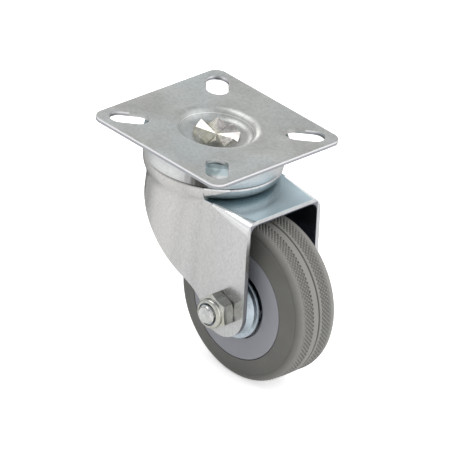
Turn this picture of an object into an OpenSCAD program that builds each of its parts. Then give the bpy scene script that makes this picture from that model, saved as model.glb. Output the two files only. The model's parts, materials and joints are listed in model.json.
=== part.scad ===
// Swivel castor with a square top plate, a pressed fork on two rows of balls and a rubber-tyred wheel.
// The origin is the centre of the plate's top face, on the swivel axis. +Z is up, +X runs towards the
// wheel's axle and Y runs along the axle. Sizes are in millimetres.

/* [Top plate] */
// Side of the square plate
plate_w = 52.5; // [51:0.5:60]
// Thickness of the plate
plate_t = 1.5; // [1.2:0.1:1.7]
// Radius of the plate's corners
plate_corner_r = 3.5; // [2:0.5:6]
// Distance from the plate's sides to the middle of a screw slot
slot_inset = 7.95; // [7.6:0.05:8.8]
// Width of a screw slot
slot_w = 6.7; // [6:0.1:6.9]
// Length of a screw slot, along the plate's diagonal
slot_len = 11.8; // [10:0.2:12.6]
// Depth of the pressed dish in the middle
dish_depth = 3; // [2.4:0.1:3.1]
// Radius of the dish's flat floor
dish_floor_r = 8.6; // [8.2:0.1:9.4]
// Radius where the dish runs out into the plate
dish_r = 13.6; // [13:0.1:14.6]

/* [Swivel head] */
// Outer radius of the upper race cup under the plate
cup_r = 21.5; // [21.3:0.1:22]
// Outer radius of the upper race cup at its lip
cup_lip_r = 21; // [20.8:0.1:21.4]
// Thickness of the race cups' walls
cup_t = 1.2; // [1:0.1:1.4]
// Thickness of the race cups under and over the balls
race_t = 1.6; // [1.2:0.1:1.7]
// Inner radius of the upper race
race_in_r = 11.6; // [11:0.1:12.2]
// Diameter of the upper balls
upper_ball_d = 4.76; // [4.5:0.01:4.78]
// Radius of the circle that the upper balls run on
upper_pitch_r = 15; // [14.9:0.1:15.3]
// Diameter of the lower balls
lower_ball_d = 4; // [3.5:0.1:4.2]
// Radius of the circle that the lower balls run on
lower_pitch_r = 9.5; // [9:0.1:9.7]
// Depth of the grooves that the balls run in
track_depth = 0.8; // [0.6:0.1:0.9]
// Radius of the kingpin where the fork turns on it
king_r = 5; // [4.5:0.1:5.3]
// Radius of the kingpin's riveted ends
king_neck_r = 4; // [3.5:0.1:4.2]
// Radius of the kingpin's star head
king_head_r = 7; // [6.5:0.1:7.8]
// Depth of the star head's points below the plate's top
star_drop = 0.9; // [0.6:0.1:1.2]
// Depth of the star head's middle below its points
star_depth = 1.6; // [1:0.1:1.7]
// Number of notches in the star head
star_notches = 8; // [6:1:10]
// Angle of the first notch from +X
star_turn = 19; // [0:1:44]
// Radius of the kingpin's lower head
low_head_r = 7; // [6:0.1:8]
// Height of the kingpin's lower head
low_head_h = 2.2; // [1.4:0.1:2.4]

/* [Fork] */
// Width over the outside of the fork's legs
fork_w = 30.6; // [30.2:0.2:32]
// Thickness of the fork's sheet
fork_t = 1.5; // [1.3:0.1:1.7]
// Depth of the drum's rim below the plate's top
rim_drop = 9.7; // [9.6:0.1:10]
// Depth of the fork's flat crown below the plate's top
crown_drop = 14; // [13.8:0.1:14.4]
// Radius of the drum at its widest
drum_rim_r = 20.8; // [20.4:0.1:21]
// Radius of the drum where it meets the flat crown
drum_base_r = 18.6; // [18.3:0.1:18.8]
// Radius of the rounded edge round the drum's rim
drum_edge_r = 0.7; // [0.5:0.1:0.9]
// Radius of the round skirt under the drum
skirt_r = 19.1; // [18.9:0.1:19.6]
// Depth below the crown where the drum's shoulder has run out into the skirt
shoulder_drop = 3.4; // [2.4:0.2:5]
// Distance from the swivel axis to the front end of that shoulder
shoulder_front = 12.5; // [11:0.25:14]
// Radius of the blend between the skirt and the flat legs
neck_blend_r = 12; // [9:0.5:16]
// Distance from the swivel axis to the crown's front edge
fork_front = 30.2; // [28:0.2:32]
// Radius of the bend between crown and legs, at the drum
bend_r_rear = 0.8; // [0.5:0.1:1.6]
// Radius of the bend between crown and legs, at the front edge
bend_r_front = 3.9; // [2:0.1:5]
// Depth of the fork's rear edge below the plate's top, at the swivel axis
rear_edge_drop = 33.65; // [32.65:0.25:34.65]
// Slope of the fork's rear edge
rear_edge_angle = 39.35; // [37.35:0.5:41.35]
// Radius of the legs' round ends
leg_end_r = 8.7; // [8:0.1:9.4]
// Distance from the swivel axis to the axle, seen from above
wheel_offset = 24.3; // [24:0.1:26]
// Depth of the axle below the plate's top
axle_drop = 45; // [44.6:0.2:48]

/* [Wheel] */
// Diameter over the tread
wheel_d = 50; // [48.5:0.5:50.5]
// Radius of the hub's edge
hub_r = 17.4; // [16:0.1:18]
// Width over the hub's faces
hub_w = 18.6; // [17.8:0.1:18.8]
// Radius of the ridge that keys the tyre to the hub
key_r = 18.6; // [18.2:0.1:20]
// Width of that ridge
key_w = 8; // [5:0.5:10]
// Width of the tread's flat
tread_flat_w = 10.4; // [8.4:0.2:10.8]
// Radius of the rounding between tread and shoulder
shoulder_round_r = 2.4; // [1.8:0.1:2.6]
// Height of the small step outside the shoulder
shoulder_step = 0.25; // [0.1:0.05:0.4]
// Width of the groove round the middle of the tread
groove_w = 0.5; // [0.3:0.1:1]
// Depth of that groove
groove_depth = 0.6; // [0.3:0.1:1]
// Radius of the recess in each hub face
recess_r = 10.8; // [10.5:0.1:12]
// Depth of that recess
recess_depth = 1.3; // [1.1:0.1:1.5]

/* [Axle] */
// Diameter of the axle bolt
bolt_d = 6; // [5.6:0.1:6.1]
// Size across the flats of the bolt's head and the nut
hex_af = 10; // [9.6:0.1:10.6]
// Height of the bolt's head
bolt_head_h = 4; // [3.4:0.1:4.6]
// Height of the lock nut with its collar
nut_h = 6; // [5.6:0.1:6.6]
// Height of the lock nut's hexagon
nut_hex_h = 4.4; // [3.6:0.1:4.6]
// Radius of the lock nut's collar
collar_r = 4.6; // [4.4:0.1:4.7]
// Length of the bolt past the nut
bolt_tip = 0.9; // [0.5:0.1:3]
// Angle of one corner of the nut from +X
nut_turn = 41; // [0:1:59]
// Radius of the sleeve that the bearings sit on
sleeve_r = 4; // [3.8:0.05:4.1]
// Outer diameter of the wheel bearings
bearing_d = 19; // [18.8:0.1:19.6]
// Width of a wheel bearing
bearing_w = 6; // [5:0.1:6.4]
// Diameter of the wheel bearings' balls
bearing_ball_d = 3.5; // [3.3:0.1:3.6]
// Number of balls in a wheel bearing
bearing_balls_n = 8; // [6:1:10]
// Radius of the thread guards
guard_r = 10.4; // [9.8:0.1:10.7]
// Thickness of the thread guards
guard_t = 0.8; // [0.6:0.1:1]
// Radius of the thread guards' flat tops, against the legs
guard_top_r = 6.8; // [6.2:0.1:7.2]
// Radius where the thread guards' slope meets the flange
guard_foot_r = 8.9; // [8.4:0.1:9.2]
// Height of the nylon ring in the lock nut
ring_h = 1.5; // [1:0.1:2]
// Wall of the nylon ring
ring_wall = 1; // [0.8:0.1:1.1]
// Thickness of the nut's lip over the nylon ring
ring_cover = 0.5; // [0.4:0.1:0.7]
// How far the nut's lip covers the nylon ring
ring_lip = 0.5; // [0.3:0.1:0.7]
// Wall of the sleeve's shoulder between the bearings
collar_wall = 1.2; // [1:0.1:1.4]
// Height of the hub's shoulder that a bearing stops against
bearing_stop = 1; // [0.8:0.1:1.4]

/* [Fits] */
// Radial play between the kingpin and the fork
pivot_gap = 0.05; // [0.03:0.01:0.08]
// Play between the swivel balls and their races
race_gap = 0.08; // [0.05:0.01:0.1]
// Play between the wheel bearings' balls and races
bearing_gap = 0.05; // [0.03:0.01:0.08]
// Gap between the upper cup's lip and the fork's drum
seam_gap = 0.3; // [0.25:0.05:0.5]
// Gap between the hub's faces and the thread guards
guard_gap = 0.7; // [0.5:0.05:1]
// Play of the axle bolt in the fork's holes
hole_gap = 0.1; // [0.05:0.01:0.15]
// Play between pieces that are pushed together
seat_gap = 0.02; // [0.01:0.01:0.03]
// Room between the balls' tracks and the race cups' walls
cup_room = 0.3; // [0.2:0.1:0.5]

/* [Hidden] */
$fn = 96;
hull_fn = 32;

zinc = [0.78, 0.79, 0.79];
bright_steel = [0.86, 0.87, 0.88];
grey_plastic = [0.6, 0.6, 0.64];
grey_rubber = [0.52, 0.51, 0.49];
nylon = [0.92, 0.92, 0.88];

// Longer than the castor in any direction, for cuts that go right through
through = 90;
// Overlap of a cut or a hidden end past the surface that it must cross
past = 0.1;
slot_at = plate_w / 2 - slot_inset;
dish_under = -dish_depth - plate_t;

// The dish's side is two equal arcs that meet halfway down
dish_arc_angle = 2 * atan(dish_depth / (dish_r - dish_floor_r));
dish_arc_r = (dish_r - dish_floor_r) / (2 * sin(dish_arc_angle));

// Heights in the swivel head, from the fork's drum upwards
upper_track_r = upper_ball_d / 2 + race_gap;
upper_z = -rim_drop - track_depth + upper_track_r;
web_bot = upper_z + upper_track_r - track_depth;
web_top = web_bot + race_t;
riser_in = upper_pitch_r + upper_track_r + cup_room;
riser_out = riser_in + cup_t;
lip_z = -rim_drop + seam_gap;

// Heights in the swivel head, from the fork's drum downwards
crown_under = -rim_drop - fork_t;
lower_track_r = lower_ball_d / 2 + race_gap;
lower_z = crown_under + track_depth - lower_track_r;
low_web_top = lower_z - lower_track_r + track_depth;
low_web_bot = low_web_top - race_t;
low_cup_r = lower_pitch_r + lower_track_r + cup_room + cup_t;

// Room left between neighbouring balls in the swivel head
ball_space = 0.25;
upper_balls_n = floor(2 * PI * upper_pitch_r / (upper_ball_d + ball_space));
lower_balls_n = floor(2 * PI * lower_pitch_r / (lower_ball_d + ball_space));

// The side of the drum is one arc from its widest place in to the flat crown
drum_side_h = crown_drop - rim_drop - drum_edge_r;
drum_tuck = drum_rim_r - drum_base_r;
drum_arc_r = (drum_side_h * drum_side_h + drum_tuck * drum_tuck) / (2 * drum_tuck);
drum_arc_c = [drum_rim_r - drum_arc_r, -rim_drop - drum_edge_r];
drum_arc_end = asin(drum_side_h / drum_arc_r);

// Plan of the fork: where the blend circles touch the legs and the skirt
fork_half = fork_w / 2;
leg_inner = fork_half - fork_t;
blend_y = fork_half + neck_blend_r;
neck_x = sqrt(pow(skirt_r + neck_blend_r, 2) - pow(blend_y, 2));
// Length of flat leg between the neck and the bend
bend_start = 0.5;
bend_x = neck_x + bend_start;
reach = wheel_offset + leg_end_r + past;
bend_growth = (bend_r_front - bend_r_rear) / (fork_front - bend_x);
min_bend_r = 0.2;
slice = 0.02;

// Places along the axle, measured from the wheel's middle
hub_half = hub_w / 2;
bearing_out = hub_half - recess_depth;
bearing_in = bearing_out - bearing_w;
bearing_mid = (bearing_in + bearing_out) / 2;
bearing_pitch_r = (sleeve_r + bearing_d / 2) / 2;
bearing_track_r = bearing_ball_d / 2 + bearing_gap;
race_split = bearing_track_r / 2;
collar_out_r = sleeve_r + collar_wall;
flange_in = hub_half + guard_gap;

// Places of the nylon ring in the lock nut
ring_seat_r = bolt_d / 2 + ring_wall;
ring_top = fork_half + nut_h - ring_cover;
ring_bot = ring_top - ring_h;

// Points along an arc about a centre, from one angle to another
function arc(centre, r, from, to, steps = 8) =
    [for (i = [0:steps]) centre + r * [cos(from + (to - from) * i / steps), sin(from + (to - from) * i / steps)]];

module ring(points) {
    rotate_extrude() polygon(points);
}

module torus(pitch_r, z, r) {
    rotate_extrude() translate([pitch_r, z]) circle(r);
}

module balls(count, pitch_r, z, d) {
    for (i = [0:count - 1]) {
        rotate([0, 0, 360 * i / count]) translate([pitch_r, 0, z]) sphere(d = d);
    }
}

// Turns a piece made along +Z so that it lies along the axle, towards -Y
module on_axle() {
    translate([wheel_offset, 0, -axle_drop]) rotate([90, 0, 0]) children();
}

module on_axle_left() {
    on_axle() mirror([0, 0, 1]) children();
}

// Top plate
module plate_outline() {
    core = plate_w - 2 * plate_corner_r;
    square([plate_w, core], center = true);
    square([core, plate_w], center = true);
    for (x = [-core / 2, core / 2], y = [-core / 2, core / 2]) {
        translate([x, y]) circle(plate_corner_r);
    }
}

module slot_outline() {
    straight = slot_len - slot_w;
    square([straight, slot_w], center = true);
    for (x = [-straight / 2, straight / 2]) {
        translate([x, 0]) circle(d = slot_w);
    }
}

// Line down the dish's side, from its rim to its floor; drop moves it to the underside of the sheet
function dish_side(drop) = concat(
    arc([dish_r, -dish_arc_r], dish_arc_r - drop, 90, 90 + dish_arc_angle),
    arc([dish_floor_r, dish_arc_r - dish_depth], dish_arc_r + drop, dish_arc_angle - 90, -90));

function reversed(points) = [for (i = [len(points) - 1:-1:0]) points[i]];

module dish() {
    hole_r = king_neck_r + seat_gap;
    ring(concat(dish_side(0), [[hole_r, -dish_depth], [hole_r, dish_under]], reversed(dish_side(plate_t))));
}

module top_plate() {
    color(zinc) difference() {
        union() {
            difference() {
                translate([0, 0, -plate_t]) linear_extrude(plate_t) plate_outline();
                translate([0, 0, -through / 2]) cylinder(r = dish_r, h = through);
            }
            dish();
        }
        for (x = [-1, 1], y = [-1, 1]) {
            translate([x * slot_at, y * slot_at, -through / 2]) rotate([0, 0, 45 * x * y])
                linear_extrude(through) slot_outline();
        }
    }
}

// Upper race cup: one pressed ring, fixed to the plate by its flat top
module upper_cup() {
    edge = 0.8;
    color(bright_steel) difference() {
        ring([
            [race_in_r, web_bot], [riser_out, web_bot], [riser_out, -plate_t - cup_t],
            [cup_r - cup_t, -plate_t - cup_t], [cup_lip_r - cup_t, lip_z], [cup_lip_r, lip_z],
            [cup_r, -plate_t - edge], [cup_r - edge, -plate_t], [riser_in, -plate_t],
            [riser_in, web_top], [race_in_r, web_top]
        ]);
        torus(upper_pitch_r, upper_z, upper_track_r);
    }
}

// Kingpin: a shouldered rivet with a star pressed into its upper head
module star_notch() {
    side_slope = 36;
    fall = 2.4;
    half = king_head_r;
    behind = 0.3;
    rotate([0, 90 + fall, 0]) translate([0, 0, -behind]) linear_extrude(2 * king_head_r)
        polygon([[0, 0], [-half * tan(side_slope), half], [-half * tan(side_slope), -half]]);
}

module kingpin() {
    edge = 0.4;
    head_bot = low_web_bot - low_head_h;
    color(zinc) difference() {
        ring([
            [0, head_bot], [low_head_r - 2 * edge, head_bot], [low_head_r, head_bot + edge],
            [low_head_r, low_web_bot], [king_neck_r, low_web_bot], [king_neck_r, low_web_top],
            [king_r, low_web_top], [king_r, dish_under], [king_neck_r, dish_under],
            [king_neck_r, -dish_depth], [king_head_r, -dish_depth], [king_head_r, -star_drop], [0, -star_drop]
        ]);
        for (i = [0:star_notches - 1]) {
            rotate([0, 0, star_turn + 360 * i / star_notches]) translate([0, 0, -star_drop - star_depth])
                star_notch();
        }
    }
}

module lower_cup() {
    edge = 0.6;
    hole_r = king_neck_r + seat_gap;
    color(zinc) difference() {
        ring([
            [hole_r, low_web_bot], [low_cup_r - edge, low_web_bot], [low_cup_r, low_web_bot + edge],
            [low_cup_r, lower_z], [low_cup_r - cup_t, lower_z], [low_cup_r - cup_t, low_web_top],
            [hole_r, low_web_top]
        ]);
        torus(lower_pitch_r, lower_z, lower_track_r);
    }
}

module upper_balls() {
    color(bright_steel) balls(upper_balls_n, upper_pitch_r, upper_z, upper_ball_d);
}

module lower_balls() {
    color(bright_steel) balls(lower_balls_n, lower_pitch_r, lower_z, lower_ball_d);
}

// Fork: its outer form less the same form one sheet thickness further in
module keyhole(inset) {
    r = skirt_r - inset;
    half = fork_half - inset;
    blend_r = neck_blend_r + inset;
    touch = r / (r + blend_r);
    circle(r);
    translate([0, -half]) square([bend_x, 2 * half]);
    for (side = [-1, 1]) {
        difference() {
            polygon([[0, 0], [touch * neck_x, side * touch * blend_y], [neck_x, side * half], [neck_x, 0]]);
            translate([neck_x, side * blend_y]) circle(blend_r);
        }
    }
}

// Cross-section of crown and legs, with its two upper corners rounded
module channel_section(inset, bend_r) {
    half = fork_half - inset;
    top = -crown_drop - inset;
    r = max(bend_r - inset, min_bend_r);
    translate([-half, -through]) square([2 * half, through + top - r]);
    for (side = [-1, 1]) {
        translate([side * (half - r), top - r]) circle(r, $fn = hull_fn);
    }
}

module channel_slice(x, inset, bend_r) {
    translate([x, 0, 0]) rotate([90, 0, 90]) linear_extrude(slice) channel_section(inset, bend_r);
}

module channel(inset) {
    end_x = reach + inset;
    hull() {
        channel_slice(bend_x - slice, inset, bend_r_rear);
        channel_slice(end_x, inset, bend_r_rear + bend_growth * (end_x - bend_x));
    }
}

module fork_form(inset) {
    translate([0, 0, -through]) linear_extrude(through - crown_drop - inset) keyhole(inset);
    channel(inset);
}

// Side view that the fork is cut to: straight rear edge, round leg ends, straight front edges
module side_outline() {
    axle = [wheel_offset, -axle_drop];
    rear_x = -skirt_r - past;
    slope = [cos(rear_edge_angle), -sin(rear_edge_angle)];
    rear_start = [0, -rear_edge_drop];
    foot = rear_start + slope * ((axle - rear_start) * slope);
    corner = [fork_front, -crown_drop];
    to_axle = axle - corner;
    lean = atan2(to_axle[1], to_axle[0]) + asin(leg_end_r / norm(to_axle));
    touch = corner + sqrt(to_axle * to_axle - leg_end_r * leg_end_r) * [cos(lean), sin(lean)];
    polygon([
        [rear_x, -crown_drop], [rear_x, -rear_edge_drop - rear_x * tan(rear_edge_angle)],
        foot, axle, touch, corner
    ]);
    translate(axle) circle(leg_end_r);
}

// Outside of the drum, and what is cut out under it
module drum() {
    edge_c = [drum_rim_r - drum_edge_r, -rim_drop - drum_edge_r];
    base_z = -crown_drop - fork_t;
    ring(concat(
        [[0, base_z], [0, -rim_drop]], arc(edge_c, drum_edge_r, 90, 0),
        arc(drum_arc_c, drum_arc_r, 0, -drum_arc_end), [[drum_base_r, base_z]]));
}

// Round the back and the sides the drum runs out into the skirt in two equal arcs
module shoulder() {
    top = -rim_drop - drum_edge_r;
    low = -crown_drop - shoulder_drop;
    in_r = drum_base_r - fork_t;
    angle = 2 * atan((drum_rim_r - skirt_r) / (top - low));
    r = (top - low) / (2 * sin(angle));
    intersection() {
        ring(concat(
            [[in_r, low], [in_r, top]], arc([drum_rim_r - r, top], r, 0, -angle),
            arc([skirt_r + r, low], r, 180 - angle, 180)));
        translate([-through, -through, -through]) cube([through + shoulder_front, 2 * through, through]);
    }
}

module drum_hollow() {
    inner_r = drum_arc_r - fork_t;
    from = -asin((drum_arc_c[1] - crown_under) / inner_r);
    base_in = drum_base_r - fork_t;
    lead_in = 0.4;
    below = -crown_drop - fork_t - past;
    ring(concat(
        [[0, below], [0, crown_under]], arc(drum_arc_c, inner_r, from, -drum_arc_end),
        [[base_in, -crown_drop + lead_in], [base_in, below]]));
}

// Swelling of the sheet over or under a ball track, beyond the given height
module track_swell(pitch_r, z, track_r, side, from_z) {
    r = track_r + fork_t;
    rotate_extrude() intersection() {
        translate([pitch_r, z]) circle(r);
        translate([pitch_r - r, side > 0 ? from_z : from_z - 2 * r]) square(2 * r);
    }
}

module fork() {
    color(zinc) difference() {
        union() {
            intersection() {
                fork_form(0);
                rotate([90, 0, 0]) linear_extrude(through, center = true) side_outline();
            }
            drum();
            shoulder();
            track_swell(lower_pitch_r, lower_z, lower_track_r, 1, -rim_drop - fork_t / 2);
        }
        fork_form(fork_t);
        difference() {
            drum_hollow();
            track_swell(upper_pitch_r, upper_z, upper_track_r, -1, crown_under + fork_t / 2);
        }
        torus(upper_pitch_r, upper_z, upper_track_r);
        torus(lower_pitch_r, lower_z, lower_track_r);
        translate([0, 0, -through / 2]) cylinder(r = king_r + pivot_gap, h = through);
        on_axle() cylinder(r = bolt_d / 2 + hole_gap, h = through, center = true);
    }
}

// Bolt and nut
module hex_prism(h) {
    chamfer = 0.2;
    corner_r = hex_af / sqrt(3);
    flat_r = hex_af / 2 - chamfer;
    out_r = corner_r + past;
    rise = (out_r - flat_r) * tan(30);
    intersection() {
        cylinder(r = corner_r, h = h, $fn = 6);
        ring([[0, 0], [flat_r, 0], [out_r, rise], [out_r, h - rise], [flat_r, h], [0, h]]);
    }
}

module axle_bolt() {
    r = bolt_d / 2;
    tip = fork_half + nut_h + bolt_tip;
    chamfer = 0.6;
    start = -fork_half - bolt_head_h / 2;
    color(zinc) on_axle() {
        translate([0, 0, -fork_half - bolt_head_h]) hex_prism(bolt_head_h);
        ring([
            [0, start], [r, start], [r, tip - chamfer], [r - chamfer, tip], [0, tip]
        ]);
    }
}

module lock_nut() {
    bore_r = bolt_d / 2 + seat_gap;
    round_r = 1;
    start = nut_hex_h / 2;
    color(zinc) on_axle() difference() {
        union() {
            translate([0, 0, fork_half]) rotate([0, 0, nut_turn]) hex_prism(nut_hex_h);
            translate([0, 0, fork_half]) ring(concat(
                [[0, start], [collar_r, start]], arc([collar_r - round_r, nut_h - round_r], round_r, 0, 90), [[0, nut_h]]));
        }
        translate([0, 0, fork_half - past]) cylinder(r = bore_r, h = through);
        translate([0, 0, ring_bot]) cylinder(r = ring_seat_r, h = ring_top - ring_bot);
        translate([0, 0, ring_bot]) cylinder(r = ring_seat_r - ring_lip, h = through);
    }
}

module nylon_ring() {
    color(nylon) on_axle() ring([
        [bolt_d / 2 + seat_gap, ring_bot], [ring_seat_r - seat_gap, ring_bot],
        [ring_seat_r - seat_gap, ring_top], [bolt_d / 2 + seat_gap, ring_top]
    ]);
}

// Sleeve on the bolt, with a shoulder that keeps the bearings apart
module axle_sleeve() {
    bore_r = bolt_d / 2 + seat_gap;
    color(zinc) on_axle() ring([
        [bore_r, -leg_inner], [sleeve_r, -leg_inner], [sleeve_r, -bearing_in], [collar_out_r, -bearing_in],
        [collar_out_r, bearing_in], [sleeve_r, bearing_in], [sleeve_r, leg_inner], [bore_r, leg_inner]
    ]);
}

// Thread guard: a collar on the sleeve, a dome against the leg and a flange over the hub's recess
module thread_guard() {
    bore_r = sleeve_r + seat_gap;
    lean = 0.3;
    ring([
        [bore_r, bearing_out], [collar_out_r, bearing_out], [collar_out_r, leg_inner - guard_t],
        [guard_top_r - lean, leg_inner - guard_t], [guard_foot_r - lean, flange_in], [guard_r, flange_in],
        [guard_r, flange_in + guard_t], [guard_foot_r, flange_in + guard_t], [guard_top_r, leg_inner],
        [bore_r, leg_inner]
    ]);
}

module thread_guard_left() {
    color(bright_steel) on_axle_left() thread_guard();
}

module thread_guard_right() {
    color(bright_steel) on_axle() thread_guard();
}

// Wheel bearings
module bearing_ring(in_r, out_r) {
    difference() {
        ring([[in_r, bearing_in], [out_r, bearing_in], [out_r, bearing_out], [in_r, bearing_out]]);
        torus(bearing_pitch_r, bearing_mid, bearing_track_r);
    }
}

module inner_race() {
    color(bright_steel) bearing_ring(sleeve_r + seat_gap, bearing_pitch_r - race_split);
}

module outer_race() {
    color(bright_steel) bearing_ring(bearing_pitch_r + race_split, bearing_d / 2);
}

module bearing_balls() {
    color(bright_steel) balls(bearing_balls_n, bearing_pitch_r, bearing_mid, bearing_ball_d);
}

module inner_race_left() {
    on_axle_left() inner_race();
}

module inner_race_right() {
    on_axle() inner_race();
}

module bearing_balls_left() {
    on_axle_left() bearing_balls();
}

module bearing_balls_right() {
    on_axle() bearing_balls();
}

module outer_race_left() {
    on_axle_left() outer_race();
}

module outer_race_right() {
    on_axle() outer_race();
}

// Wheel: outlines as distance from the axle and place along it, mirrored about the wheel's middle
function both_sides(half) = concat(half, reversed([for (p = half) [p[0], -p[1]]]));

module hub() {
    seat_r = bearing_d / 2 + seat_gap;
    shoulder_in_r = bearing_d / 2 - bearing_stop;
    color(grey_plastic) on_axle() ring(concat(
        reversed([for (p = hub_outside()) [p[0], -p[1]]]), hub_outside(),
        both_sides([
            [recess_r, hub_half], [recess_r, bearing_out], [seat_r, bearing_out], [seat_r, bearing_in],
            [shoulder_in_r, bearing_in]
        ])));
}

function hub_outside() = [[key_r, key_w / 2], [hub_r, key_w / 2], [hub_r, hub_half]];

module tyre() {
    tread_r = wheel_d / 2;
    flat_end = tread_flat_w / 2;
    shoulder_r = tread_r - shoulder_round_r;
    step_lean = 0.1;
    outside = concat(
        [[tread_r - groove_depth, groove_w / 2], [tread_r, groove_w / 2]],
        arc([shoulder_r, flat_end], shoulder_round_r, 0, 90),
        [[shoulder_r - step_lean, flat_end + shoulder_round_r + shoulder_step], [hub_r + seat_gap, hub_half]]);
    inside = [[hub_r + seat_gap, key_w / 2], [key_r + seat_gap, key_w / 2]];
    color(grey_rubber) on_axle() ring(both_sides(concat(outside, inside)));
}

top_plate();
upper_cup();
kingpin();
lower_cup();
upper_balls();
lower_balls();
fork();
axle_bolt();
lock_nut();
nylon_ring();
axle_sleeve();
thread_guard_left();
thread_guard_right();
inner_race_left();
inner_race_right();
bearing_balls_left();
bearing_balls_right();
outer_race_left();
outer_race_right();
hub();
tyre();
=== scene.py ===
"""Looks of the swivel castor: zinc-plated steel, a moulded hub and a knurled rubber tyre."""
import json
import math

import bmesh
import bpy
import numpy as np
from mathutils import Matrix, Vector

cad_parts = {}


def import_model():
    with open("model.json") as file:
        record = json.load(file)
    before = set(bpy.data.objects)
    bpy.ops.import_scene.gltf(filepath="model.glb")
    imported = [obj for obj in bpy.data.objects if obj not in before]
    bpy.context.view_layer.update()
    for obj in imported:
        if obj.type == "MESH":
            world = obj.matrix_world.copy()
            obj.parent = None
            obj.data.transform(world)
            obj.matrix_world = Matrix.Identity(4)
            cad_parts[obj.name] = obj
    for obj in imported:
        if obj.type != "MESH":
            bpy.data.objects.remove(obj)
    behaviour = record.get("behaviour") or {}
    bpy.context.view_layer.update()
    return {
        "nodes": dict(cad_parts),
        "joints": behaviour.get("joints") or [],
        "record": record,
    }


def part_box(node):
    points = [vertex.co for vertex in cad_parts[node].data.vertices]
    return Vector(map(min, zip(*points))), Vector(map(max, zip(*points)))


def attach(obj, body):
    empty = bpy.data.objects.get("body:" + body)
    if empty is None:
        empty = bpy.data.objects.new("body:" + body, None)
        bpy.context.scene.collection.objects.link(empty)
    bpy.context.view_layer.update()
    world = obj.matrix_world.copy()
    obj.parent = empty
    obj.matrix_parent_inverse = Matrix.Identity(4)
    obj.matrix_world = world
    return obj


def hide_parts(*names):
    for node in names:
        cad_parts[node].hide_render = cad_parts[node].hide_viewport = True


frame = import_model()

MM = 0.001
SCENE = bpy.context.scene
RECORD = frame["record"]

# The axle is the wheel joint's own line, and the wheel's sizes come from its nodes' boxes
AXLE = Vector(next(j for j in frame["joints"] if j["name"] == "wheel_spin")["pos_m"])
TYRE_LOW, TYRE_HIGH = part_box("tyre")
WHEEL_R = (TYRE_HIGH.z - TYRE_LOW.z) / 2
HUB_LOW, HUB_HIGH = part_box("hub")
HUB_HALF = (HUB_HIGH.y - HUB_LOW.y) / 2

# Plate: its sheet, the distance from the middle past which its edges lie, and the depth of the painted highlight at
# the top of an edge
PLATE_T = 1.5 * MM
RIM_START = 26.2 * MM
EDGE_HIGHLIGHT_DEPTH = 0.65 * MM

# Race cup: the heights between which painted shade under the plate darkens its plating
CUP_SHADE_START = -5.2 * MM
CUP_SHADE_END = -4.4 * MM

# Fork: the crown's height, its start in front of the drum, the reach of the painted shade round the drum, and the
# inside of its legs and skirt, which is painted dark as shade
CROWN_Z = -14.0 * MM
CROWN_START = 12.6 * MM
CROWN_INSIDE = 1.2 * MM
DRUM_R = 18.6 * MM
DRUM_SHADE_END_R = 27.6 * MM
LEG_INNER = 13.8 * MM
BEND_INNER = 10.8 * MM
SKIRT_INNER_R = 17.6 * MM
NECK_X = 8.4 * MM
SKIN = 0.2 * MM

# Camera, as the photograph was taken: a long lens, a little turned about its own axis
CAMERA_AZIMUTH = math.radians(41.54)
CAMERA_ELEVATION = math.radians(28.81)
CAMERA_ROLL = math.radians(7.35)
CAMERA_DISTANCE = 2.0467
CAMERA_RIGHT = 2.52 * MM
CAMERA_DOWN = 29.18 * MM
SENSOR = 36.0
FOCAL_SHARE = 6997.07 / 452

# Tread: two knurled bands, a little off the middle, and the groove between them
KNURLS_ROUND = 118
KNURL_ROW = 1.25 * MM
KNURL_DEPTH = 0.45 * MM
KNURL_SHIFT = 0.6 * MM
KNURL_IN = 1.65 * MM
KNURL_OUT = 6.1 * MM
KNURL_FADE = 4.9 * MM
KNURL_STEPS = 7
KNURL_FLAT = 0.28
KNURL_REACH = 0.5 * MM
PALE_TREAD_DEPTH = 2.3 * MM
TREAD_HALF = 5.2 * MM
GROOVE_HALF = 0.25 * MM
GROOVE_DEPTH = 0.6 * MM
KNURL_SIZES = {"Diamonds Round": KNURLS_ROUND, "Row Pitch": KNURL_ROW, "Depth": KNURL_DEPTH, "Band Start": KNURL_IN,
               "Fade Start": KNURL_FADE, "Band End": KNURL_OUT, "Tread Radius": WHEEL_R}

# Bolt: its thread past the nut and its rounded tip
THREAD_PITCH = 1.0 * MM
THREAD_R = 2.96 * MM
THREAD_ROOT_R = 2.55 * MM
THREAD_TURNS = 3
THREAD_SIDES = 64
TIP_R = 2.45 * MM
TIP_LENGTH = 0.55 * MM
TIP_PAST = 0.3 * MM
TIP_ROUND = 0.2 * MM
CORE_R = 0.01 * MM

# Edges: an angle past which an edge counts as sharp, the segments of a rounded one, and when two corners are one
SHARP_DEG = 32
EDGE_SEGMENTS = 2
SAME_POINT = 0.002 * MM
FLAT_DEG = 0.4

# Light and floor: the point that the lamps look at, the key's side of it, and the floor's own glow, to the camera
# and to metal that mirrors it
LIT_POINT = Vector((0.012, 0, -0.035))
KEY_SIDE = (1.0, 0.45, 0.7)
FLOOR_HALF = 1.5
FLOOR_GAP = 0.01 * MM
GLOW_SEEN = 0.61
GLOW_MIRRORED = 0.23

WHITE = (1, 1, 1, 1)


# Meshes

def finished(name, mesh, body, finish, replaced, smooth_deg=SHARP_DEG):
    """Links a mesh as a finished piece that rides on a body and stands for a node."""
    mesh.materials.clear()
    mesh.materials.append(finish)
    mesh.shade_smooth()
    mesh.set_sharp_from_angle(angle=math.radians(smooth_deg))
    area_normals(mesh)
    piece = bpy.data.objects.new(name, mesh)
    SCENE.collection.objects.link(piece)
    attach(piece, body)
    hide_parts(replaced)


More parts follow.
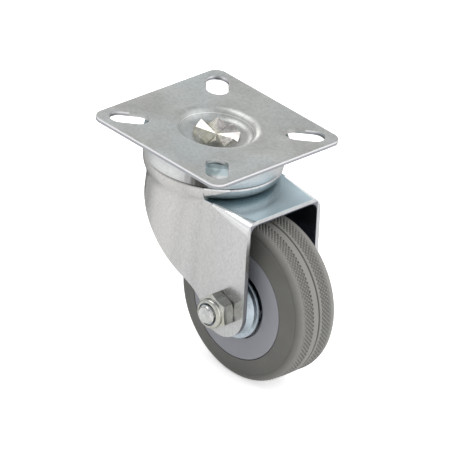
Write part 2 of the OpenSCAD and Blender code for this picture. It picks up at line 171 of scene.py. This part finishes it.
def area_normals(mesh):
    """Corner normals weighted by face size, so that large flats stay flat beside narrow round strips."""
    bm = bmesh.new()
    bm.from_mesh(mesh)
    corner = [None] * len(mesh.loops)
    for vert in bm.verts:
        left = set(vert.link_faces)
        while left:
            fan = [left.pop()]
            for face in fan:
                for edge in face.edges:
                    if vert in edge.verts and edge.smooth:
                        for other in edge.link_faces:
                            if other in left:
                                left.discard(other)
                                fan.append(other)
            normal = sum((f.normal * math.sqrt(f.calc_area()) for f in fan), Vector()).normalized()
            for face in fan:
                for loop in face.loops:
                    if loop.vert == vert:
                        corner[loop.index] = normal
    bm.free()
    mesh.normals_split_custom_set(corner)


def soft_edged(node, width):
    """A copy of a node's mesh with its sharp edges rounded."""
    bm = bmesh.new()
    bm.from_mesh(frame["nodes"][node].data)
    bmesh.ops.remove_doubles(bm, verts=bm.verts, dist=SAME_POINT)
    bmesh.ops.dissolve_limit(bm, angle_limit=math.radians(FLAT_DEG), verts=bm.verts, edges=bm.edges)
    sharp = math.radians(SHARP_DEG)
    edges = [e for e in bm.edges if len(e.link_faces) == 2 and e.calc_face_angle() > sharp]
    bmesh.ops.bevel(bm, geom=edges, offset=width, offset_type="OFFSET", segments=EDGE_SEGMENTS,
                    profile=0.5, affect="EDGES", clamp_overlap=True)
    bmesh.ops.triangulate(bm, faces=[f for f in bm.faces if len(f.verts) > 4])
    mesh = bpy.data.meshes.new(node + "_soft")
    bm.to_mesh(mesh)
    bm.free()
    return mesh


def arc(centre, radius, start_deg, end_deg, steps):
    """Points along an arc, from one angle to another."""
    angles = np.radians(np.linspace(start_deg, end_deg, steps + 1))
    return [(centre[0] + radius * math.cos(a), centre[1] + radius * math.sin(a)) for a in angles]


def lathe(name, outline, steps):
    """A closed ring about the axle, turned from an outline of (radius, place along the axle)."""
    count = len(outline)
    turn = np.linspace(0, 2 * math.pi, steps, endpoint=False)
    radius = np.array([p[0] for p in outline])
    along = np.array([p[1] for p in outline])
    points = np.empty((steps, count, 3))
    points[..., 0] = AXLE.x + np.cos(turn)[:, None] * radius
    points[..., 1] = AXLE.y + along
    points[..., 2] = AXLE.z + np.sin(turn)[:, None] * radius
    here = np.arange(steps * count).reshape(steps, count)
    ahead = np.roll(here, -1, axis=0)
    corners = [here, np.roll(here, -1, axis=1), np.roll(ahead, -1, axis=1), ahead]
    faces = np.stack(corners, axis=-1).reshape(-1, 4)
    mesh = bpy.data.meshes.new(name)
    mesh.from_pydata(points.reshape(-1, 3).tolist(), [], faces.tolist())
    bm = bmesh.new()
    bm.from_mesh(mesh)
    bmesh.ops.recalc_face_normals(bm, faces=bm.faces)
    bm.to_mesh(mesh)
    bm.free()
    return mesh


# Node trees

class Tree:
    """Short ways to add nodes to one tree and join them."""

    def __init__(self, tree):
        self.tree = tree

    def add(self, kind, **settings):
        node = self.tree.nodes.new(kind)
        for key, value in settings.items():
            setattr(node, key, value)
        return node

    def put(self, socket, value):
        if isinstance(value, bpy.types.NodeSocket):
            self.tree.links.new(value, socket)
        else:
            socket.default_value = value

    def math(self, operation, *values):
        node = self.add("ShaderNodeMath", operation=operation)
        for socket, value in zip(node.inputs, values):
            self.put(socket, value)
        return node.outputs[0]

    def split(self, vector):
        """The x, y and z of a vector."""
        node = self.add("ShaderNodeSeparateXYZ")
        self.put(node.inputs[0], vector)
        return node.outputs

    def reach(self, a, b):
        """The distance from an axis, from the two measures across it."""
        return self.math("SQRT", self.math("ADD", self.math("MULTIPLY", a, a), self.math("MULTIPLY", b, b)))

    def turn_share(self, angle):
        """An angle in radians as a share of a turn, with straight back at 0 and 1."""
        return self.math("MULTIPLY_ADD", angle, 0.5 / math.pi, 0.5)

    def rise(self, value, start, end):
        """From 0 at the start to 1 at the end, and level outside them."""
        node = self.add("ShaderNodeMapRange")
        self.put(node.inputs["Value"], value)
        self.put(node.inputs["From Min"], start)
        self.put(node.inputs["From Max"], end)
        return node.outputs[0]

    def noise(self, coords, scale, detail=3.0, roughness=0.5, distortion=0.0):
        node = self.add("ShaderNodeTexNoise")
        self.put(node.inputs["Vector"], coords)
        node.inputs["Scale"].default_value = scale
        node.inputs["Detail"].default_value = detail
        node.inputs["Roughness"].default_value = roughness
        node.inputs["Distortion"].default_value = distortion
        return node.outputs["Fac"]

    def ramp(self, value, stops):
        node = self.add("ShaderNodeValToRGB")
        self.put(node.inputs["Fac"], value)
        elements = node.color_ramp.elements
        while len(elements) < len(stops):
            elements.new(0.5)
        for element, (place, colour) in zip(elements, stops):
            element.position = place
            element.color = (*colour, 1)
        return node.outputs["Color"]

    def grey_ramp(self, value, low, high, start=0.3, end=0.7):
        return self.ramp(value, [(start, (low,) * 3), (end, (high,) * 3)])

    def mix(self, factor, a, b, blend="MIX"):
        node = self.add("ShaderNodeMix", data_type="RGBA", blend_type=blend)
        self.put(node.inputs["Factor"], factor)
        self.put(node.inputs[6], a)
        self.put(node.inputs[7], b)
        return node.outputs[2]

    def bump(self, height, strength, distance, normal=None):
        node = self.add("ShaderNodeBump")
        node.inputs["Strength"].default_value = strength
        node.inputs["Distance"].default_value = distance
        self.put(node.inputs["Height"], height)
        if normal is not None:
            self.put(node.inputs["Normal"], normal)
        return node.outputs["Normal"]


def material(name, metallic, **settings):
    """A new material's tree, its shader and its Object coordinates."""
    mat = bpy.data.materials.new(name)
    mat.use_nodes = True
    tree = Tree(mat.node_tree)
    shader = mat.node_tree.nodes["Principled BSDF"]
    shader.inputs["Metallic"].default_value = metallic
    for key, value in settings.items():
        shader.inputs[key].default_value = value
    coords = tree.add("ShaderNodeTexCoord").outputs["Object"]
    return mat, tree, shader, coords


def from_axle(tree, coords):
    """The x, y and z of a place, measured from the middle of the axle."""
    node = tree.add("ShaderNodeVectorMath", operation="SUBTRACT")
    tree.put(node.inputs[0], coords)
    node.inputs[1].default_value = AXLE
    return tree.split(node.outputs[0])


def stretched(tree, coords, scale):
    """Coordinates scaled along each axis, so that a pattern on them draws out."""
    node = tree.add("ShaderNodeMapping")
    tree.put(node.inputs["Vector"], coords)
    node.inputs["Scale"].default_value = scale
    return node.outputs["Vector"]


def crown_tint(tree, coords, colour):
    """Painted reflection as faint streaks down the fork, blue plating on its crown with painted shade that darkens
    it towards the drum, painted shade on its inside, and a painted highlight along the bends from the crown into the
    legs."""
    x, y, z = tree.split(coords)
    reach = tree.reach(x, y)
    # Painted reflection: faint streaks down the fork stand in for floor bands mirrored in it
    reflection_streaks = tree.noise(stretched(tree, coords, (1, 1, 0.12)), 55, 0, 0.4, 0.2)
    colour = tree.mix(0.8, colour, tree.grey_ramp(reflection_streaks, 0.88, 1.0, 0.3, 0.65), "MULTIPLY")

    # Painted shade: the crown's blue plating darkens towards the drum
    level = tree.math("COMPARE", z, CROWN_Z, SKIN / 2)
    on_crown = tree.math("MULTIPLY", level, tree.math("GREATER_THAN", x, CROWN_START))
    blue_and_drum_shade = tree.mix(tree.rise(reach, DRUM_R, DRUM_SHADE_END_R), (0.2, 0.3, 0.33, 1), (0.56, 0.7, 0.77, 1))
    colour = tree.mix(tree.math("MULTIPLY", on_crown, 0.85), colour, blue_and_drum_shade)

    # Painted shade: the inside of the legs and skirt, below the crown, turns nearly black
    between = tree.math("LESS_THAN", tree.math("ABSOLUTE", y), LEG_INNER + SKIN)
    between = tree.math("MULTIPLY", between, tree.math("GREATER_THAN", x, NECK_X))
    in_skirt = tree.math("LESS_THAN", reach, SKIRT_INNER_R + SKIN)
    under = tree.math("LESS_THAN", z, CROWN_Z - CROWN_INSIDE)
    shaded_inside = tree.math("MULTIPLY", tree.math("MAXIMUM", between, in_skirt), under)
    colour = tree.mix(tree.math("MULTIPLY", shaded_inside, 0.9), colour, (0.065, 0.078, 0.11, 1))

    # Painted highlight: a near-white band along the bends where the crown turns down into the legs
    facing_up = tree.split(tree.add("ShaderNodeNewGeometry").outputs["Normal"])[2]
    highlight_grey = (0.85,) * 3
    bend_highlight = tree.ramp(facing_up, [(0.02, (0, 0, 0)), (0.5, highlight_grey), (0.95, highlight_grey), (0.998, (0, 0, 0))])
    outer = tree.math("GREATER_THAN", tree.math("ABSOLUTE", y), BEND_INNER)
    outer = tree.math("MULTIPLY", outer, tree.math("GREATER_THAN", x, CROWN_START))
    return tree.mix(tree.math("MULTIPLY", outer, bend_highlight), colour, WHITE)


def cup_shade(tree, coords, colour):
    """A painted dark brown reflection on the race cup's front, and painted shade, darker and bluish, on its top that
    shows through the slots.
    """
    x, y, z = tree.split(coords)
    # Painted reflection: a dark brown patch on the cup's front, ragged at its sides
    ragged = tree.noise(stretched(tree, coords, (1, 1, 0.15)), 900, 2, 0.5)
    place = tree.turn_share(tree.math("MULTIPLY_ADD", ragged, 0.16, tree.math("ARCTAN2", y, x)))
    full = (0.95,) * 3
    dark_reflection = tree.ramp(place, [(0.31, (0, 0, 0)), (0.35, full), (0.368, full), (0.395, (0, 0, 0))])
    colour = tree.mix(dark_reflection, colour, (0.03, 0.028, 0.025, 1))
    # Painted shade: the cup's top, under the plate, turns dark and bluish in blots that show through the slots
    slot_shade = tree.ramp(tree.noise(coords, 190, 2), [(0.4, (0.2, 0.25, 0.26)), (0.6, (0.42, 0.5, 0.52))])
    return tree.mix(tree.rise(z, CUP_SHADE_START, CUP_SHADE_END), colour, slot_shade)


def sheared_edges(tree, coords, colour):
    """Sheared edges round the plate and in its slots, with a painted highlight at the top and grey below, and its
    underside painted near white as light for the metal below to mirror.
    """
    x, y, z = tree.split(coords)
    reach = tree.reach(x, y)
    outside = tree.math("GREATER_THAN", reach, RIM_START)
    below = tree.math("LESS_THAN", z, -SKIN / 2)
    above = tree.math("GREATER_THAN", z, -PLATE_T + SKIN / 4)
    edge = tree.math("MULTIPLY", outside, tree.math("MULTIPLY", below, above))
    # Painted highlight: the top of an edge is near white, and below it grey
    tone = tree.mix(tree.math("GREATER_THAN", z, -EDGE_HIGHLIGHT_DEPTH), (0.34, 0.35, 0.37, 1), (0.78, 0.77, 0.79, 1))
    colour = tree.mix(tree.math("MULTIPLY", edge, 0.9), colour, tone)
    # Painted light: the underside is coloured near white, so that the metal under the plate mirrors it brightly
    brightened_underside = tree.math("COMPARE", z, -PLATE_T, SKIN / 5)
    return tree.mix(brightened_underside, colour, (0.93, 0.94, 0.95, 1))


def zinc(name, light, dark, stain, roughness, cloud=90.0, grain=900.0, stain_share=0.5, stretch=(1, 1, 1),
         wave=0.25, tint=None):
    """Zinc plating: clouds of two greys, a faint coloured stain, and a fine crystalline grain. A piece's tint, with
    painted light and shade, comes over them."""
    mat, tree, shader, object_coords = material(name, 1.0)
    coords = stretched(tree, object_coords, stretch)
    clouds = tree.noise(coords, cloud, 5, 0.6, 0.6)
    colour = tree.mix(tree.grey_ramp(clouds, 0, 1, 0.35, 0.65), (*dark, 1), (*light, 1))
    patches = tree.noise(coords, cloud * 0.45, 2, 0.5)
    share = tree.math("MULTIPLY", tree.grey_ramp(patches, 0, 1, 0.45, 0.7), stain_share)
    colour = tree.mix(share, colour, (*stain, 1))
    specks = tree.noise(coords, grain, 4, 0.7)
    colour = tree.mix(0.7, colour, tree.grey_ramp(specks, 0.72, 1.0, 0.3, 0.6), "MULTIPLY")
    if tint:
        colour = tint(tree, object_coords, colour)
    tree.put(shader.inputs["Base Color"], colour)
    rough = tree.math("MULTIPLY_ADD", clouds, 0.1, roughness - 0.09)
    tree.put(shader.inputs["Roughness"], tree.math("MULTIPLY_ADD", specks, 0.08, rough))
    normal = tree.bump(specks, 0.12, 0.05 * MM)
    tree.put(shader.inputs["Normal"], tree.bump(tree.noise(coords, cloud * 1.5, 3), wave, 0.12 * MM, normal))
    return mat


def plastic(name, colour, roughness):
    """Moulded plastic: one colour with faint flow clouds and a fine satin grain."""
    mat, tree, shader, coords = material(name, 0.0)
    clouds = tree.noise(coords, 120, 3)
    deeper, paler = ((*(c * share for c in colour), 1) for share in (0.94, 1.05))
    tree.put(shader.inputs["Base Color"], tree.mix(clouds, deeper, paler))
    grains = tree.noise(coords, 1500, 2)
    tree.put(shader.inputs["Roughness"], tree.math("MULTIPLY_ADD", grains, 0.1, roughness - 0.05))
    tree.put(shader.inputs["Normal"], tree.bump(grains, 0.08, 0.03 * MM))
    return mat


def rubber(name, colour, dusty, tread):
    """Grey rubber: matt, with a dusty bloom in clouds, fine pores, and a paler tread, partly rubbed and partly
    painted light, with painted shade in its recesses.
    """
    mat, tree, shader, coords = material(name, 0.0)
    bloom = tree.grey_ramp(tree.noise(coords, 70, 5, 0.6), 0, 0.8, 0.35, 0.7)
    base = tree.mix(bloom, (*colour, 1), (*dusty, 1))
    x, y, z = from_axle(tree, coords)
    radius = tree.reach(x, z)
    # Paler towards the tread: partly rubbed rubber, partly painted light where the tread meets the lamps
    surface = tree.mix(tree.rise(radius, WHEEL_R - PALE_TREAD_DEPTH, WHEEL_R - 0.1 * MM), base, (*tread, 1))
    # Painted shade in the knurl recesses
    recess = tree.rise(radius, WHEEL_R - 0.02 * MM, WHEEL_R - 0.35 * MM)
    on_tread = tree.math("LESS_THAN", tree.math("ABSOLUTE", y), TREAD_HALF)
    shaded = tree.math("MULTIPLY", tree.math("MULTIPLY", recess, on_tread), 0.3)
    tree.put(shader.inputs["Base Color"], tree.mix(shaded, surface, (0.05, 0.049, 0.045, 1)))
    pores = tree.noise(coords, 1800, 3, 0.6)
    tree.put(shader.inputs["Roughness"], tree.math("MULTIPLY_ADD", pores, 0.16, 0.5))
    tree.put(shader.inputs["Normal"], tree.bump(pores, 0.15, 0.05 * MM))
    shader.inputs["Specular IOR Level"].default_value = 0.4
    return mat


PLATE_ZINC = zinc("plate_zinc", (0.57, 0.578, 0.56), (0.455, 0.458, 0.435), (0.5, 0.545, 0.56), 0.44, cloud=70,
                  stain_share=0.6, tint=sheared_edges)
CUP_ZINC = zinc("cup_zinc", (0.7, 0.71, 0.715), (0.57, 0.58, 0.58), (0.62, 0.62, 0.58), 0.34, stretch=(1, 1, 5),
                tint=cup_shade)
FORK_ZINC = zinc("fork_zinc", (0.57, 0.575, 0.585), (0.54, 0.545, 0.555), (0.58, 0.55, 0.5), 0.24, cloud=38,
                 grain=2200, stain_share=0.5, stretch=(1, 1, 0.45), wave=0.02, tint=crown_tint)
KINGPIN_STEEL = zinc("kingpin_steel", (0.68, 0.65, 0.63), (0.36, 0.34, 0.33), (0.5, 0.5, 0.3), 0.24, cloud=200)
BOLT_ZINC = zinc("bolt_zinc", (0.66, 0.67, 0.66), (0.5, 0.51, 0.5), (0.6, 0.6, 0.5), 0.22, cloud=200)
NUT_ZINC = zinc("nut_zinc", (0.58, 0.59, 0.55), (0.36, 0.365, 0.335), (0.5, 0.47, 0.38), 0.17, cloud=200)
GUARD_ZINC = zinc("guard_zinc", (0.56, 0.63, 0.68), (0.44, 0.5, 0.55), (0.5, 0.58, 0.63), 0.4, cloud=120)
BALL_STEEL = zinc("ball_steel", (0.8, 0.8, 0.82), (0.74, 0.74, 0.76), (0.76, 0.76, 0.78), 0.12, cloud=300,
                  stain_share=0.1)
HUB_PLASTIC = plastic("hub_plastic", (0.3, 0.305, 0.335), 0.45)
NYLON = plastic("nylon", (0.2, 0.24, 0.3), 0.4)
TYRE_RUBBER = rubber("tyre_rubber", (0.125, 0.122, 0.112), (0.155, 0.152, 0.14), (0.235, 0.23, 0.215))


# Pieces

def knurl_tree():
    """Geometry nodes that press two bands of diamonds into the tread, a little off its middle."""
    group = bpy.data.node_groups.new("knurled_tread", "GeometryNodeTree")
    face = group.interface
    face.new_socket("Geometry", in_out="INPUT", socket_type="NodeSocketGeometry")
    for name in KNURL_SIZES:
        face.new_socket(name, in_out="INPUT", socket_type="NodeSocketFloat")
    face.new_socket("Rubber", in_out="INPUT", socket_type="NodeSocketMaterial")
    face.new_socket("Geometry", in_out="OUTPUT", socket_type="NodeSocketGeometry")
    tree = Tree(group)
    given = tree.add("NodeGroupInput").outputs
    place = tree.add("GeometryNodeInputPosition").outputs[0]
    x, y, z = from_axle(tree, place)
    round_share = tree.math("DIVIDE", tree.math("ARCTAN2", z, x), 2 * math.pi)
    u = tree.math("MULTIPLY", round_share, given["Diamonds Round"])
    across = tree.math("ABSOLUTE", tree.math("ADD", y, KNURL_SHIFT))
    v = tree.math("DIVIDE", across, given["Row Pitch"])

    def ridge(value):
        """Up and down once for each whole number."""
        return tree.math("PINGPONG", value, 0.5)

    height = tree.math("MINIMUM", ridge(tree.math("ADD", u, v)), ridge(tree.math("SUBTRACT", u, v)))
    cut = tree.math("SUBTRACT", 1.0, tree.math("DIVIDE", tree.math("MINIMUM", height, KNURL_FLAT), KNURL_FLAT))
    radius = tree.reach(x, z)
    outside = tree.math("GREATER_THAN", radius, tree.math("SUBTRACT", given["Tread Radius"], KNURL_REACH))
    started = tree.math("GREATER_THAN", across, given["Band Start"])
    fading = tree.rise(across, given["Band End"], given["Fade Start"])
    on_band = tree.math("MULTIPLY", outside, tree.math("MULTIPLY", started, fading))
    share = tree.math("MULTIPLY", tree.math("MULTIPLY", cut, on_band), given["Depth"])
    shrink = tree.math("DIVIDE", tree.math("MULTIPLY", share, -1.0), radius)
    offset = tree.add("ShaderNodeCombineXYZ")
    tree.put(offset.inputs[0], tree.math("MULTIPLY", x, shrink))
    tree.put(offset.inputs[2], tree.math("MULTIPLY", z, shrink))
    pressed = tree.add("GeometryNodeSetPosition")
    tree.put(pressed.inputs["Geometry"], given["Geometry"])
    tree.put(pressed.inputs["Offset"], offset.outputs[0])
    realized = tree.add("GeometryNodeRealizeInstances")
    tree.put(realized.inputs[0], pressed.outputs[0])
    painted = tree.add("GeometryNodeSetMaterial")
    tree.put(painted.inputs["Geometry"], realized.outputs[0])
    tree.put(painted.inputs["Material"], given["Rubber"])
    tree.put(tree.add("NodeGroupOutput").inputs[0], painted.outputs[0])
    return group


def grown(name, mesh, group, inputs):
    """The mesh after a geometry nodes tree, as a plain mesh. Inputs are given by their names."""
    carrier = bpy.data.objects.new(name, mesh)
    SCENE.collection.objects.link(carrier)
    modifier = carrier.modifiers.new("nodes", "NODES")
    modifier.node_group = group
    sockets = {item.name: item.identifier for item in group.interface.items_tree if item.in_out == "INPUT"}
    for key, value in inputs.items():
        modifier[sockets[key]] = value
    bpy.context.view_layer.update()
    result = bpy.data.meshes.new_from_object(carrier.evaluated_get(bpy.context.evaluated_depsgraph_get()))
    bpy.data.objects.remove(carrier)
    return result


def tyre():
    """The tyre, turned from its outline, with its two knurled bands. It grips the hub's ridge, and a thin dark seam
    shows between the two at each side."""
    flat_end = TREAD_HALF
    shoulder_round = 2.4 * MM
    step = 0.25 * MM
    hub_r = 17.4 * MM
    key_r = 18.6 * MM
    key_half = 4.0 * MM
    play = 0.02 * MM
    seam = 0.18 * MM
    shoulder_r = WHEEL_R - shoulder_round
    rows = 28
    knurl_start = KNURL_IN - KNURL_SHIFT
    band = [(WHEEL_R, y) for y in np.linspace(knurl_start, flat_end, rows + 1)]
    half = [(WHEEL_R - GROOVE_DEPTH, GROOVE_HALF * 0.5), (WHEEL_R - 0.1 * MM, GROOVE_HALF),
            (WHEEL_R, GROOVE_HALF + 0.12 * MM), (WHEEL_R, knurl_start - 0.1 * MM)]
    half += band[:-1] + arc((shoulder_r, flat_end), shoulder_round, 0, 28, 8)
    half += arc((shoulder_r, flat_end), shoulder_round, 34, 84, 6)
    lip = flat_end + shoulder_round
    half += [(shoulder_r - 0.02 * MM, lip + 0.02 * MM), (shoulder_r - 0.06 * MM, lip + step * 0.7),
             (shoulder_r - 0.16 * MM, lip + step), (shoulder_r - 0.5 * MM, lip + step + 0.12 * MM)]
    half += [(hub_r + 0.3 * MM, HUB_HALF - 0.03 * MM), (hub_r + seam, HUB_HALF - 0.1 * MM),
             (hub_r + seam, HUB_HALF - 1.0 * MM), (hub_r + play, HUB_HALF - 1.1 * MM),
             (hub_r + play, key_half), (key_r + play, key_half)]
    outline = half + [(r, -y) for r, y in reversed(half)]
    mesh = lathe("tyre_blank", outline, KNURLS_ROUND * KNURL_STEPS)
    mesh = grown("tyre_blank", mesh, knurl_tree(), {**KNURL_SIZES, "Rubber": TYRE_RUBBER})
    finished("knurled_tyre", mesh, "wheel", TYRE_RUBBER, "tyre", smooth_deg=40)


def soft_nodes():
    """Nodes whose own shape is kept, with their edges rounded as on pressed and turned metal."""
    for node, name, body, slot, finish, width in (
        ("top_plate", "plate_sheet", "plate", "plate_zinc", PLATE_ZINC, 0.2 * MM),
        ("upper_cup", "race_cup", "plate", "cup_zinc", CUP_ZINC, 0.15 * MM),
        ("kingpin", "star_kingpin", "plate", "kingpin_steel", KINGPIN_STEEL, 0.12 * MM),
        ("fork", "pressed_fork", "fork", "fork_zinc", FORK_ZINC, 0.15 * MM),
        ("lock_nut", "lock_nut_body", "fork", "nut_zinc", NUT_ZINC, 0.15 * MM),
        ("thread_guard_left", "guard_left", "fork", "guard_zinc", GUARD_ZINC, 0.15 * MM),
        ("thread_guard_right", "guard_right", "fork", "guard_zinc", GUARD_ZINC, 0.15 * MM),
        ("hub", "moulded_hub", "wheel", "hub_plastic", HUB_PLASTIC, 0.2 * MM),
    ):
        finished(name, soft_edged(node, width), body, finish, node)


def bolt():
    """The axle bolt, with a rounded lead-in and the last turns of its thread past the nut."""
    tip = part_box("axle_bolt")[0].y - AXLE.y - TIP_PAST
    start = tip + TIP_LENGTH + THREAD_TURNS * THREAD_PITCH
    bm = bmesh.new()
    bm.from_mesh(soft_edged("axle_bolt", 0.12 * MM))
    cut = bmesh.ops.bisect_plane(bm, geom=bm.verts[:] + bm.edges[:] + bm.faces[:], dist=SAME_POINT / 20,
                                 plane_co=(0, AXLE.y + start, 0), plane_no=(0, -1, 0), clear_outer=True)
    rim = [e for e in cut["geom_cut"] if isinstance(e, bmesh.types.BMEdge)]
    bmesh.ops.contextual_create(bm, geom=rim)
    outline = [(CORE_R, start), (CORE_R, tip)] + arc((TIP_R - TIP_ROUND, tip + TIP_ROUND), TIP_ROUND, -90, 0, 3)
    outline.append((THREAD_ROOT_R, tip + TIP_LENGTH))
    for turn in range(THREAD_TURNS):
        root = tip + TIP_LENGTH + turn * THREAD_PITCH
        outline += [(THREAD_R, root + 0.35 * THREAD_PITCH), (THREAD_R, root + 0.5 * THREAD_PITCH),
                    (THREAD_ROOT_R, root + 0.85 * THREAD_PITCH), (THREAD_ROOT_R, root + THREAD_PITCH)]
    bm.from_mesh(lathe("bolt_thread", outline, THREAD_SIDES))
    mesh = bpy.data.meshes.new("bolt")
    bm.to_mesh(mesh)
    bm.free()
    finished("threaded_bolt", mesh, "fork", BOLT_ZINC, "axle_bolt", smooth_deg=28)


def plain_nodes():
    """Nodes that show as they are, with the finish of their slot."""
    finishes = {"cup_zinc": CUP_ZINC, "ball_steel": BALL_STEEL, "bolt_zinc": BOLT_ZINC, "nylon": NYLON}
    slots = {s["node"]: s["material_slot"] for s in RECORD["subparts"]}
    for node in ("lower_cup", "upper_balls", "lower_balls", "nylon_ring", "axle_sleeve", "inner_race_left",
                 "inner_race_right", "bearing_balls_left", "bearing_balls_right", "outer_race_left",
                 "outer_race_right"):
        mesh = frame["nodes"][node].data
        mesh.materials.clear()
        mesh.materials.append(finishes[slots[node]])


# Camera, light and floor

def camera():
    """The photograph's camera."""
    back = Vector((math.sin(CAMERA_AZIMUTH) * math.cos(CAMERA_ELEVATION),
                   -math.cos(CAMERA_AZIMUTH) * math.cos(CAMERA_ELEVATION), math.sin(CAMERA_ELEVATION)))
    level_right = Vector((math.cos(CAMERA_AZIMUTH), math.sin(CAMERA_AZIMUTH), 0))
    level_up = back.cross(level_right)
    right = math.cos(CAMERA_ROLL) * level_right + math.sin(CAMERA_ROLL) * level_up
    up = math.cos(CAMERA_ROLL) * level_up - math.sin(CAMERA_ROLL) * level_right
    data = bpy.data.cameras.new("camera")
    data.sensor_width = SENSOR
    data.lens = FOCAL_SHARE * SENSOR
    data.clip_end = 10
    eye = bpy.data.objects.new("camera", data)
    turn = Matrix((right, up, back)).transposed().to_4x4()
    place = CAMERA_RIGHT * right - CAMERA_DOWN * up + CAMERA_DISTANCE * back
    eye.matrix_world = Matrix.Translation(place) @ turn
    SCENE.collection.objects.link(eye)
    SCENE.camera = eye


def lamp(name, direction, distance, size, power, mirrored):
    """A square soft light that looks at the castor's middle. Gloss and metal show only the mirrored ones."""
    data = bpy.data.lights.new(name, "AREA")
    data.shape = "SQUARE"
    data.size = size
    data.energy = power
    light = bpy.data.objects.new(name, data)
    away = Vector(direction).normalized()
    light.location = LIT_POINT + away * distance
    light.rotation_euler = away.to_track_quat("Z", "Y").to_euler()
    light.visible_glossy = mirrored
    SCENE.collection.objects.link(light)


def world():
    """A white studio to the camera. It lights the castor softly from above, and metal mirrors bright walls under a
    greyer ceiling."""
    sky = bpy.data.worlds.new("studio")
    sky.use_nodes = True
    SCENE.world = sky
    tree = Tree(sky.node_tree)
    background = sky.node_tree.nodes["Background"]
    direction = tree.add("ShaderNodeTexCoord").outputs["Generated"]
    height = tree.math("MULTIPLY_ADD", tree.split(direction)[2], 0.5, 0.5)
    mirrored = tree.ramp(height, [(0.0, (0.9, 0.9, 0.9)), (0.5, (1, 1, 1)), (0.6, (1, 1, 1)),
                                  (0.74, (0.86, 0.87, 0.88)), (0.86, (0.62, 0.63, 0.65)), (1.0, (0.64, 0.66, 0.68))])
    lit = tree.ramp(height, [(0.0, (0.3, 0.3, 0.3)), (0.5, (0.38, 0.39, 0.4)), (1.0, (0.8, 0.8, 0.8))])
    paths = tree.add("ShaderNodeLightPath")
    room = tree.mix(paths.outputs["Is Glossy Ray"], lit, mirrored)
    tree.put(background.inputs["Color"], tree.mix(paths.outputs["Is Camera Ray"], room, WHITE))


def floor():
    """A plain pale floor. Metal mirrors its tones, which change round the castor as the cards of a studio do."""
    mat, tree, shader, coords = material("pale_floor", 0.0, Roughness=0.9)
    x, y, z = tree.split(coords)
    share = tree.turn_share(tree.math("ARCTAN2", y, x))
    tones = [(0.0, 0.3), (0.05, 0.55), (0.1, 0.85), (0.2, 0.88), (0.25, 0.75), (0.3, 0.85), (0.6, 0.8),
             (0.8, 0.4), (0.87, 0.1), (0.96, 0.1), (1.0, 0.6)]
    tone = tree.ramp(share, [(place, (t, t, t)) for place, t in tones])
    paths = tree.add("ShaderNodeLightPath")
    shade = tree.mix(paths.outputs["Is Glossy Ray"], (0.9, 0.9, 0.9, 1), tone)
    tree.put(shader.inputs["Base Color"], shade)
    tree.put(shader.inputs["Emission Color"], shade)
    seen = tree.math("MULTIPLY", paths.outputs["Is Camera Ray"], GLOW_SEEN)
    mirrored = tree.math("MULTIPLY", paths.outputs["Is Glossy Ray"], GLOW_MIRRORED)
    tree.put(shader.inputs["Emission Strength"], tree.math("ADD", seen, mirrored))
    mesh = bpy.data.meshes.new("floor")
    level = TYRE_LOW.z - FLOOR_GAP
    corners = [(FLOOR_HALF * i, FLOOR_HALF * j, level) for i, j in ((-1, -1), (1, -1), (1, 1), (-1, 1))]
    mesh.from_pydata(corners, [], [(0, 1, 2, 3)])
    mesh.materials.append(mat)
    ground = bpy.data.objects.new("floor", mesh)
    SCENE.collection.objects.link(ground)


tyre()
soft_nodes()
bolt()
plain_nodes()
camera()
world()
floor()
# The card stands just in front of the key, so that metal mirrors the key at less than its full strength
lamp("key", KEY_SIDE, 1.0, 1.3, 5.2, mirrored=False)
lamp("key_card", KEY_SIDE, 0.97, 1.26, 3.2, mirrored=True)
lamp("rim", (-0.89, 0.38, 0.26), 1.0, 0.3, 1.0, mirrored=True)
lamp("top", (-0.5, -0.2, 1.0), 1.0, 0.6, 3, mirrored=True)
SCENE.view_settings.view_transform = "Standard"
